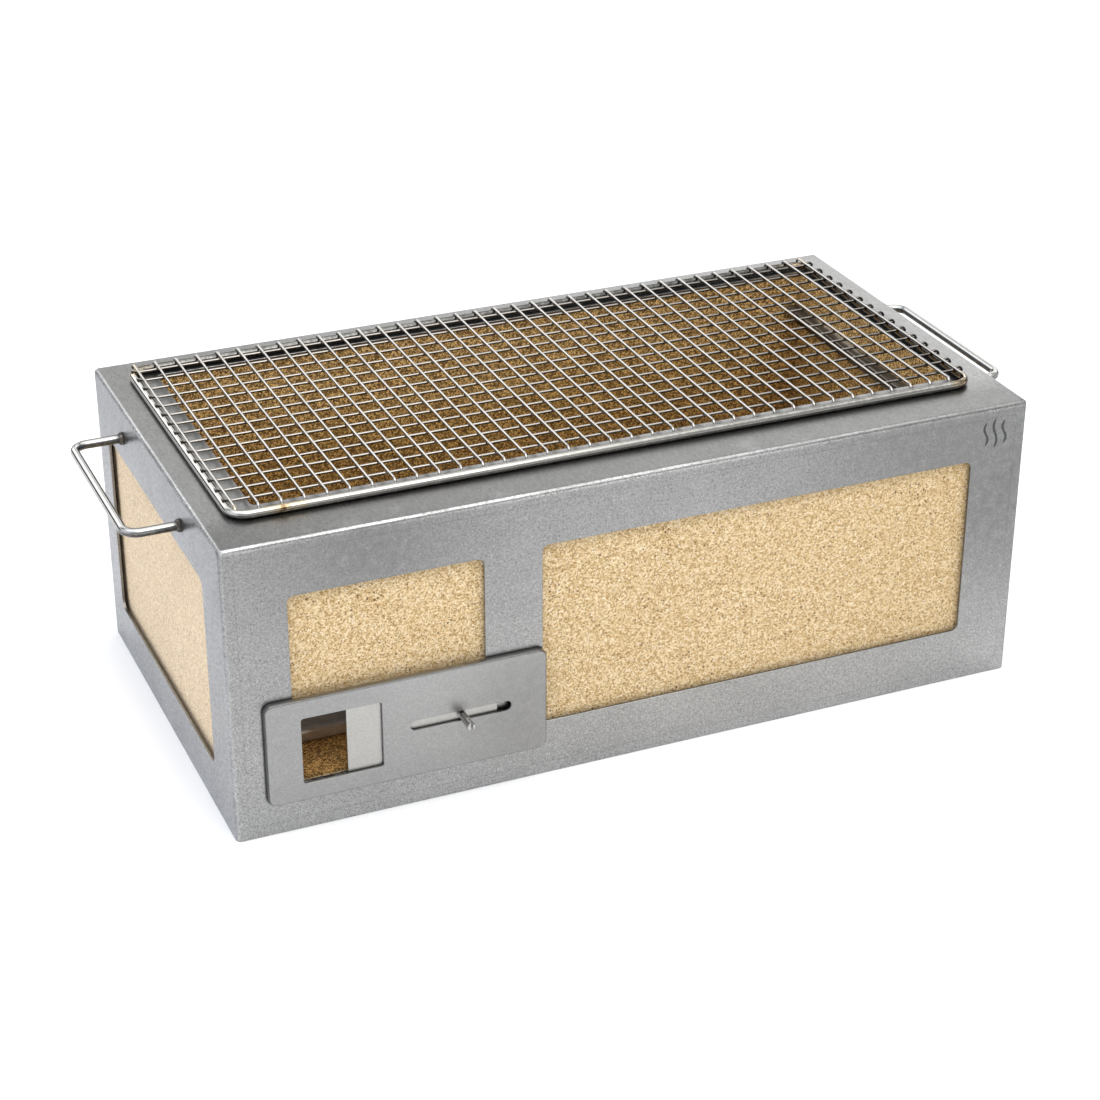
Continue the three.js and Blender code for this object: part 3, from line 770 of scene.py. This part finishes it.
def make_screws(material):
    """Flat-headed screws under the base, round-headed ones in the rails."""
    for node in BODY_OF:
        if "screw" not in node:
            continue
        lo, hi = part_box(node)
        centre = (lo + hi) / 2
        if node.startswith("base"):
            axis, origin, length = Vector((0, 0, -1)), Vector((centre.x, centre.y, hi.z)), hi.z - lo.z
            head, rise, shank = (hi.x - lo.x) / 2, 1.6 * MM, 2.5 * MM
            profile = [(shank * 0.5, 0), (shank, 1.0 * MM), (shank, length - rise - 0.2 * MM),
                       (head, length - 0.2 * MM), (head, length)]
        else:
            axis = Vector((-1 if centre.x > 0 else 1, 0, 0))
            far = hi.x if centre.x > 0 else lo.x
            origin, length = Vector((far, centre.y, centre.z)), hi.x - lo.x
            head, rise, shank = (hi.z - lo.z) / 2, 2.0 * MM, 2.0 * MM
            profile = [(shank * 0.4, 0), (shank, 1.5 * MM), (shank, length - rise), (head, length - rise),
                       (head * 0.98, length - rise * 0.55), (head * 0.82, length - rise * 0.2),
                       (head * 0.5, length - rise * 0.04), (head * 0.1, length)]
        screw = new_piece(node.replace("screw", "bolt"), *lathe(profile, 28, origin, axis))
        top = origin + axis * length
        carve(screw, [cross_part(top, axis, head * 0.55, 0.45 * MM, -1.1 * MM, 1.0 * MM)])
        soften(screw, 0.1 * MM, 1, 50)
        stand_for(screw, material, node)


def make_grate(material):
    """A tray upside down, with rows of slots."""
    lo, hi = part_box("charcoal_grate")
    bend = 3 * MM
    grate = new_piece("coal_tray", *pan(hi.x, hi.y, hi.z, lo.z, bend, bend + 0.6 * MM))
    columns, rows, width, length, pitch_x, pitch_y = GRATE_SLOTS
    cuts = []
    for column in range(columns):
        for row in range(rows):
            cx, cy = (column - (columns - 1) / 2) * pitch_x, (row - (rows - 1) / 2) * pitch_y
            slot = in_mm(a0=cx - width / 2, a1=cx + width / 2, b0=cy - length / 2, b1=cy + length / 2,
                         r=width / 2 * 0.999)
            cuts.append(prism(slot, along_z, hi.z - 3 * SHEET, hi.z + SHEET))
    carve(grate, cuts)
    soften(grate, 0.25 * MM)
    stand_for(grate, material, "charcoal_grate")


# ---- Air vent ----

def make_vent(cover_material, bright):
    """The cover with its slot, the sliding plate behind it and the plate's grip pin."""
    lo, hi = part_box("vent_cover")
    centre_x, centre_z = (lo.x + hi.x) / 2, (lo.z + hi.z) / 2
    foot = -FRONT_Y + 0.15 * MM
    verts, faces = pan((hi.x - lo.x) / 2, (hi.z - lo.z) / 2, -lo.y, foot, 1.5 * MM, COVER_R)
    cover = new_piece("air_cover", [(centre_x + v.x, -v.z, centre_z + v.y) for v in verts], faces)
    carve(cover, [prism(in_mm(**opening), along_y, lo.y - 5 * MM, hi.y + MM) for opening in (VENT, SLOT)])
    soften(cover, 0.3 * MM)
    stand_for(cover, cover_material, "vent_cover")

    lo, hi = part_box("damper_plate")
    outline = in_mm(a0=lo.x / MM, a1=hi.x / MM, b0=lo.z / MM, b1=hi.z / MM, r=1.5)
    plate = new_piece("damper_slide_plate", *prism(outline, along_y, lo.y, hi.y))
    outward(plate)
    soften(plate, 0.2 * MM)
    stand_for(plate, bright, "damper_plate")

    lo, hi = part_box("damper_pin")
    radius = (hi.x - lo.x) / 2
    length = hi.y - lo.y
    profile = [(radius, 0), (radius, length - 0.9 * MM), (radius * 0.93, length - 0.35 * MM),
               (radius * 0.78, length)]
    centre_x = (lo.x + hi.x) / 2
    root = Vector((centre_x, hi.y, (lo.z + hi.z) / 2))
    pin = new_piece("damper_grip_pin", *lathe(profile, 40, root, Vector((0, -1, 0))))
    cut_half, cut_depth = 1.0 * MM, 8 * MM
    carve(pin, [box_part((centre_x - cut_half, lo.y - MM, lo.z - MM),
                         (centre_x + cut_half, lo.y + cut_depth, hi.z + MM))])
    soften(pin, 0.2 * MM, 2, 35)
    stand_for(pin, polished_rod("pin_steel", (0.50, 0.49, 0.48), (0.12, 0.22)), "damper_pin")


# ---- Carrying handles ----

def make_handles(rod_material, weld):
    """Two bent rods with a weld bead round each root."""
    for side, sx in (("left", -1), ("right", 1)):
        lo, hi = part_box(f"handle_{side}")
        z = (lo.z + hi.z) / 2
        wall = sx * min(abs(lo.x), abs(hi.x))
        grip = sx * (max(abs(lo.x), abs(hi.x)) - HANDLE_R)
        y0, y1 = lo.y + HANDLE_R, hi.y - HANDLE_R
        corners = [Vector(p) for p in ((wall, y0, z), (grip, y0, z), (grip, y1, z), (wall, y1, z))]
        path = bent_path(corners, HANDLE_BEND)
        handle = new_piece(f"carry_handle_{side}", *tube(path, HANDLE_R, 32))
        outward(handle)
        smooth(handle, 50)
        stand_for(handle, rod_material, f"handle_{side}")
        for end, y in (("front", y0), ("rear", y1)):
            make_bead(f"{side}_{end}", Vector((wall, y, z)), sx, weld)


def make_bead(where, root, sx, material):
    """An uneven weld bead round a handle's root."""
    segments, rings = 48, 10
    height, foot, throat, bore = 2.6 * MM, 1.3 * MM, 0.05 * MM, HANDLE_R - 0.4 * MM
    verts = []
    for i in range(rings + 1):
        t = i / rings
        for c, d in circle(segments):
            wobble = noise.noise(Vector((c * 1.6, d * 1.6, sx + root.y * 40)))
            ripple = noise.noise(Vector((c * 5, d * 5, t * 2 + root.y * 90)))
            bulge = math.sqrt(max(0.0, 1 - t * t)) * (1 + 0.28 * wobble) + 0.10 * ripple * (1 - t)
            radius = HANDLE_R + throat + max(0.0, foot * bulge)
            radius = min(radius, HANDLE_R + foot * 1.25)
            out = height * t * (1 + 0.30 * wobble)
            verts.append(root + Vector((sx * out, radius * c, radius * d)))
    for out in (sx * height * 0.8, 0):
        verts += [root + Vector((out, bore * c, bore * d)) for c, d in circle(segments)]
    faces = ring_faces(rings + 3, segments, closed=True)
    bead = new_piece(f"weld_bead_{where}", verts, faces)
    outward(bead)
    smooth(bead, 60)
    stand_for(bead, material, f"handle_collar_{where}")


# ---- Cooking grill ----

FRAME_LO, FRAME_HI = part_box("grill_frame")
ROD_X0, ROD_X1 = FRAME_LO.x + ROD_R, FRAME_HI.x - ROD_R
ROD_Y0, ROD_Y1 = FRAME_LO.y + ROD_R, FRAME_HI.y - ROD_R
ROD_Z = FRAME_LO.z + ROD_R
FRAME_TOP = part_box("mesh_wires_cross")[1].z


def sag(x, y):
    """How far the mesh hangs: 0 at the frame, SAG in the middle."""
    across = max(0.0, 1 - (x / 0.277) ** 2)
    along = max(0.0, 1 - ((y - 0.0066) / 0.128) ** 2)
    return -SAG * across * along


def make_grill_frame(material):
    """One rod bent to a ring; it starts and ends in the middle of the front."""
    corners = [(0, ROD_Y0), (ROD_X1, ROD_Y0), (ROD_X1, ROD_Y1), (ROD_X0, ROD_Y1), (ROD_X0, ROD_Y0),
               (0, ROD_Y0)]
    path = bent_path([Vector((x, y, ROD_Z)) for x, y in corners], ROD_BEND)[:-1]
    rod = new_piece("grill_rod", *tube(path, ROD_R, 28, closed=True))
    outward(rod)
    smooth(rod, 60)
    stand_for(rod, material, "grill_frame")


def eased(points, steps):
    """A smooth curve through a few points (Catmull-Rom)."""
    out = []
    for i in range(len(points) - 1):
        p0, p1 = points[max(i - 1, 0)], points[i]
        p2, p3 = points[i + 1], points[min(i + 2, len(points) - 1)]
        for k in range(steps):
            t = k / steps
            out.append(0.5 * ((2 * p1) + (p2 - p0) * t + (2 * p0 - 5 * p1 + 4 * p2 - p3) * t * t
                              + (3 * p1 - p0 - 3 * p2 + p3) * t * t * t))
    return out + [points[-1]]


def cross_wire(x, rng):
    """A wire along Y on top: hooked down inside the front rod, over the rear rod, its tip bent down."""
    lean = rng.uniform(-0.4, 0.4) * MM
    top = FRAME_TOP - WIRE_R
    head = [Vector((x, ROD_Y0 + ahead * MM, top - drop * MM)) for ahead, drop in (
        (3.8, rng.uniform(2.3, 3.0)), (4.3, 1.4), (5.5, 0.4), (7.5, 0), (10, 0))]
    start, end = head[-1].y, ROD_Y1 - 6 * MM
    count = 40
    run = []
    for k in range(count + 1):
        y = start + (end - start) * k / count
        run.append(Vector((x + lean * math.sin(math.pi * k / count), y, top + sag(x, y))))
    tail = [run[-1]] + [Vector((x, ROD_Y1 + past * MM, top - drop * MM)) for past, drop in (
        (0, 0), (2.6, 0.5), (4.1, 2.2), (4.3, 3.4 + rng.uniform(-0.5, 0.6)))]
    return eased(head, 5)[:-1] + run[:-1] + eased(tail, 5)


def long_wire(y, x0, x1, rng):
    """A wire along X under the others: it lies on the left rod, its tip bent down past the right rod."""
    lean = rng.uniform(-0.4, 0.4) * MM
    top = FRAME_TOP - 3 * WIRE_R
    over = ROD_Z + ROD_R + WIRE_R
    start, end = x0 + 2.5 * MM, x1 - 2.0 * MM
    count = 60
    run = []
    for k in range(count + 1):
        x = start + (end - start) * k / count
        run.append(Vector((x, y + lean * math.sin(math.pi * k / count), top + sag(x, y))))
    head = [Vector((ROD_X0 + past * MM, y, over - drop * MM)) for past, drop in (
        (-0.9, 0.25), (0.2, 0.1), (2.0, 0.9))] + [run[0]]
    tail = [run[-1]] + [Vector((ROD_X1 + past * MM, y, over - drop * MM)) for past, drop in (
        (-2.2, 1.2), (0, 0), (2.6, 0.6), (4.0, 2.1), (4.2, 3.1 + rng.uniform(-0.4, 0.6)))]
    return eased(head, 5)[:-1] + run[:-1] + eased(tail, 5)


def make_mesh_wires(cross_material, long_material):
    """All the wires of each layer are one piece."""
    rng = random.Random(7)
    xs = [CROSS_FIRST_X + CROSS_PITCH * i for i in range(CROSS_COUNT)]
    xs[-1] = ROD_X1 - 2.6 * MM
    ys = [LONG_FIRST_Y + LONG_PITCH * j for j in range(LONG_COUNT)]
    cross = [cross_wire(x, rng) for x in xs]
    long = [long_wire(y, xs[0], xs[-1], rng) for y in ys]
    for layer, wires, material in (("cross", cross, cross_material), ("long", long, long_material)):
        parts = [tube(*round_ended(path, WIRE_R), WIRE_SIDES) for path in wires]
        piece = new_piece(f"grid_{layer}_wires", *merge(parts))
        smooth(piece, 70)
        stand_for(piece, material, f"mesh_wires_{layer}")


# ---- Mark ----

MARK_X, MARK_Z = 274 * MM, 199 * MM
WAVE = dict(width=2.0 * MM, height=23 * MM, pitch=7.5 * MM, swing=1.6 * MM, thick=0.04 * MM, steps=40)


def make_mark(material):
    """Three rising heat waves, a generic sign, etched near the front panel's right end."""
    parts = []
    for n, tall in ((-1, WAVE["height"] * 0.8), (0, WAVE["height"]), (1, WAVE["height"] * 0.8)):
        left, right = [], []
        for k in range(WAVE["steps"] + 1):
            t = k / WAVE["steps"]
            x = MARK_X + n * WAVE["pitch"] + WAVE["swing"] * math.sin(t * 2 * math.pi)
            z = MARK_Z + (t - 0.5) * tall
            taper = WAVE["width"] / 2 * min(1.0, math.sqrt(max(0.02, math.sin(math.pi * t) * 3)))
            left.append((x - taper, z))
            right.append((x + taper, z))
        parts.append(prism(left + right[::-1], along_y, FRONT_Y - WAVE["thick"], FRONT_Y + WAVE["thick"]))
    mark = new_piece("heat_mark", *merge(parts))
    outward(mark)
    mark.data.materials.append(material)
    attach(mark, BODY_OF["casing"])


# ---- Stage ----

STRIP_GLOW = 1.5
SKY_FRONT = [(0.0, 0.40), (0.30, 0.45), (0.43, 0.85), (0.70, 0.95), (1.0, 0.8)]  # height, level
SKY_BACK = [(0.0, 0.05), (0.22, 0.07), (0.34, 0.84), (0.44, 0.92), (0.50, 1.05), (0.60, 0.28), (0.78, 0.28),
            (1.0, 0.5)]
SOFTBOXES = [  # direction, cosines where the glow starts and is full, amount
    ((-0.20, 0.83, 0.52), 0.94, 0.965, 1.4),
    ((0.62, 0.70, 0.35), 0.86, 0.98, 1.0),
    ((-0.93, -0.05, 0.42), 0.80, 0.93, 0.6),
]
LAMP_PLACE, LAMP_AIM = Vector((-0.1, -1.05, 1.6)), Vector((0, -0.2, 0.05))
LAMP_SIZE, LAMP_POWER = (1.3, 0.6), 9
EYE_PLACE = Vector((-0.66611, -1.55265, 0.96089))
EYE_SIGHT = Vector((0.34847, 0.81638, -0.46053))
LENS, SENSOR = 83.17, 36.0
FLOOR_HALF, FLOOR_Z = 14.0, -0.2 * MM


def make_floor():
    """A pale floor just under the feet of the casing."""
    outline = [(-FLOOR_HALF, -FLOOR_HALF, 0), (FLOOR_HALF, -FLOOR_HALF, 0), (FLOOR_HALF, FLOOR_HALF, 0),
               (-FLOOR_HALF, FLOOR_HALF, 0)]
    floor = new_piece("floor", outline, [(0, 1, 2, 3)])
    floor.location.z = FLOOR_Z
    s = Shader("floor_white")
    s.set(Base_Color=s.mix(s.noise(3, 2), (0.93, 0.93, 0.93), (0.96, 0.96, 0.96)), Roughness=0.9,
          Specular_IOR_Level=0.1)
    floor.data.materials.append(s.material)


def make_world():
    """Soft studio surround: dark low down, bright behind and overhead, so round steel shows lines."""
    world = bpy.data.worlds.new("studio")
    bpy.context.scene.world = world
    world.use_nodes = True
    tree = world.node_tree
    tree.nodes.clear()
    s = Shader.__new__(Shader)
    s.tree = tree
    place = tree.nodes.new("ShaderNodeTexCoord")
    s.point = place.outputs["Generated"]
    x, y, z = s.axes()
    ahead, behind = [s.tint(z, [(where, (value,) * 3) for where, value in sky])
                     for sky in (SKY_FRONT, SKY_BACK)]
    level = s.axes(s.mix(s.span(y, -0.2, 0.45), ahead, behind))[0]
    for aim, edge, core, amount in SOFTBOXES:
        node = tree.nodes.new("ShaderNodeVectorMath")
        node.operation = "DOT_PRODUCT"
        tree.links.new(s.point, node.inputs[0])
        node.inputs[1].default_value = Vector(aim).normalized()
        level = s.plus(level, s.span(node.outputs["Value"], edge, core, 0.0, amount))
    strip = s.times(s.span(s.size(y), 0.45, 0.62, 1.0, 0.0), s.span(z, 0.72, 0.80))
    level = s.plus(level, s.times(strip, STRIP_GLOW))
    cool = s.span(x, -0.6, -0.1, 1.0, 0.0)
    light = tree.nodes.new("ShaderNodeBackground")
    out = tree.nodes.new("ShaderNodeOutputWorld")
    tree.links.new(s.mix(cool, (1.0, 1.0, 1.0), (0.93, 0.97, 1.05)), light.inputs["Color"])
    tree.links.new(level, light.inputs["Strength"])
    tree.links.new(light.outputs["Background"], out.inputs["Surface"])


def face(thing, place, sight):
    """Puts a lamp or a camera in the scene, looking along sight."""
    holder = bpy.data.objects.new(thing.name, thing)
    bpy.context.scene.collection.objects.link(holder)
    holder.location = place
    holder.rotation_mode = "QUATERNION"
    holder.rotation_quaternion = (-sight).to_track_quat("Z", "Y")
    return holder


def make_lamp():
    lamp = bpy.data.lights.new("overhead_front", "AREA")
    lamp.shape = "RECTANGLE"
    lamp.size, lamp.size_y = LAMP_SIZE
    lamp.energy = LAMP_POWER
    face(lamp, LAMP_PLACE, LAMP_AIM - LAMP_PLACE)


def make_camera():
    camera = bpy.data.cameras.new("camera")
    camera.sensor_width = SENSOR
    camera.lens = LENS
    camera.clip_start, camera.clip_end = 0.05, 60.0
    bpy.context.scene.camera = face(camera, EYE_PLACE, EYE_SIGHT)


# ---- Whole object ----

def assign(node, material):
    """Gives a CAD node that stays in view its material."""
    piece = frame["nodes"][node]
    for slot in piece.material_slots:
        slot.material = material
    if not piece.material_slots:
        piece.data.materials.append(material)


# The second colour is the grey of the painted shade patches.
BLUE, SHADE_GREY, SMUDGE = (0.20, 0.22, 0.26), (0.15, 0.15, 0.146), (0.12, 0.11, 0.105)
PAINTED_SHADE_PLACES = [  # painted shade patches on the front panel: x, z, reach, amount
    (-0.20, TOP_Z - 12 * MM, 120 * MM, 0.80),
    (0.20, TOP_Z - 12 * MM, 130 * MM, 0.70),
    (0.29, 0.15, 140 * MM, 0.88),
]


def handle_roots():
    lo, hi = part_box("handle_left")
    z = (lo.z + hi.z) / 2
    return [Vector((sx * CASING_HI.x, y, z)) for sx in (-1, 1) for y in (lo.y + HANDLE_R, hi.y - HANDLE_R)]


def casing_steel(roots, cover):
    """Darkened and blue at the handle roots, painted shade in the gap at the vent hole's foot, painted
    shade patches on the front, a thin painted contact shade round the cover and a faint line round the
    panel.
    """
    corners = [Vector((sx * CASING_HI.x, sy * CASING_HI.y, TOP_Z)) for sx in (-1, 1) for sy in (-1, 1)]
    vent_x = (VENT_HOLE["a0"] + VENT_HOLE["a1"]) / 2
    tints = [(p, 11 * MM, 0.85, SOOT_AND_SHADE) for p in roots]
    tints += [(p + Vector((0, 0, -18 * MM)), 24 * MM, 0.55, BLUE) for p in roots]
    # Painted shade in the gap at the vent hole's bottom edge.
    tints += [(Vector(((vent_x + step) * MM, FRONT_Y, VENT_HOLE["b0"] * MM)), 14 * MM, 1.3, SOOT_AND_SHADE)
              for step in (-20, -10, 0, 10, 20)]
    # Painted shade patches on the front panel.
    tints += [(Vector((x, FRONT_Y, z)), reach, amount, SHADE_GREY) for x, z, reach, amount in PAINTED_SHADE_PLACES]
    # The outlines: a painted contact shade round the vent cover, and a faint dark line 9 mm inside the
    # front panel's edges.
    inset = 9 * MM
    panel = (Vector((0, FRONT_Y, TOP_Z / 2)), (CASING_HI.x - inset, TOP_Z / 2 - inset), 4 * MM)
    return sheet_steel("casing_steel", 1.0, tint_at=tints, dull_at=[(p, 12 * MM) for p in corners],
                       outlines=[(*cover, 1.7 * MM, 0.80), (*panel, 0.7 * MM, 0.14)], painted_shading=True)


def cover_steel(cover, lo, hi):
    """Cleaner sheet with a smudge over the pin, painted shade towards its right end and a painted shade
    line round its rim.
    """
    smudges = [(Vector((PIN_X - 2 * MM, FRONT_Y - 5 * MM, PIN_Z + 6 * MM)), 10 * MM, 0.45, SMUDGE),
               (Vector((hi.x - 12 * MM, lo.y, PIN_Z)), 75 * MM, 0.40, SHADE_GREY)]
    return sheet_steel("cover_steel", 0.35, 0.98, smudges, outlines=[(*cover, 1.2 * MM, 0.70)], rub_and_highlight=0.0)


def grill_steels():
    """The finishes of the ring, of the wires on top and of the wires under them."""
    corners = [Vector((x, y, ROD_Z)) for x in (ROD_X0, ROD_X1) for y in (ROD_Y0, ROD_Y1)]
    stains = [(corners[1], 34 * MM, 0.45), (corners[2], 26 * MM, 1.0), (corners[3], 40 * MM, 1.0),
              (Vector((ROD_X0 + 36 * MM, ROD_Y0, ROD_Z)), 30 * MM, 0.5),
              (Vector((ROD_X0 + 34 * MM, ROD_Y0 - 2.2 * MM, ROD_Z - 2.0 * MM)), 13 * MM, 1.0)]
    # Painted dark reflection and shade on the ring: its right and rear runs, and its tops towards the
    # right.
    painted_dark = [(0, ROD_X1 - 3.4 * MM, ROD_X1 - 2.4 * MM, 0.85, False),
            (1, ROD_Y1 - 3.4 * MM, ROD_Y1 - 2.6 * MM, 0.80, False), (0, -0.15, 0.12, 0.62, True)]
    ring = polished_rod("frame_steel", (0.54, 0.53, 0.495), (0.10, 0.20), stains, painted_dark_past=painted_dark,
                        painted_underside=0.85, underside_shade_top=0.14)
    stains = [(p, 26 * MM, 0.4) for p in corners]
    # Painted shade on the wire tips past the rods.
    painted_dark = [(0, ROD_X1 + 0.5 * MM, ROD_X1 + 2.0 * MM, 0.97, False),
            (1, ROD_Y1 + 1.5 * MM, ROD_Y1 + 3.0 * MM, 0.9, False),
            (0, ROD_X0 + 1.5 * MM, ROD_X0 + 0.2 * MM, 0.7, False)]
    top = polished_rod("wire_steel", (0.54, 0.52, 0.49), (0.10, 0.22), stains, painted_dark_past=painted_dark, painted_underside=0.75)
    # The under wires also get painted dark reflection towards the right.
    painted_dark.append((0, 0.0, 0.26, 0.70, False))
    under = polished_rod("long_wire_steel", (0.42, 0.395, 0.36), (0.10, 0.22), stains, painted_dark_past=painted_dark,
                         painted_underside=0.85)
    return ring, top, under


def make_object():
    roots = handle_roots()
    cover_lo, cover_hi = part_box("vent_cover")
    cover_half = ((cover_hi.x - cover_lo.x) / 2, (cover_hi.z - cover_lo.z) / 2)
    cover = ((cover_lo + cover_hi) / 2, cover_half, COVER_R)
    inner_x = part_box("fire_board_right")[0].x
    inner_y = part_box("fire_board_rear")[0].y
    ring_steel, wire_steel, long_steel = grill_steels()
    plain_steel = sheet_steel("plain_steel", 0.6)

    make_casing(casing_steel(roots, cover))
    make_boards(fire_board("vermiculite_board", (inner_x, inner_y)))
    make_rails(dusty_steel("rail_steel"))
    make_screws(polished_rod("screw_steel", (0.5, 0.5, 0.5), (0.25, 0.4)))
    make_grate(burnt_steel("burnt_steel"))
    make_vent(cover_steel(cover, cover_lo, cover_hi), sheet_steel("damper_steel", 0.25, 1.29, warmth=0.035))
    make_handles(polished_rod("handle_steel", (0.48, 0.475, 0.46), (0.10, 0.20), painted_underside=0.9, underside_shade_top=0.42,
                              soot_at=[(p, 8 * MM) for p in roots]), weld_metal("weld_metal"))
    make_grill_frame(ring_steel)
    make_mesh_wires(wire_steel, long_steel)
    make_mark(etched("etched_mark"))
    for node in BODY_OF:
        if node == "base_plate" or node.startswith(("corner_bracket", "vent_guide")):
            assign(node, plain_steel)


bpy.context.scene.view_settings.view_transform = "Standard"
make_floor()
make_world()
make_lamp()
make_camera()
make_object()
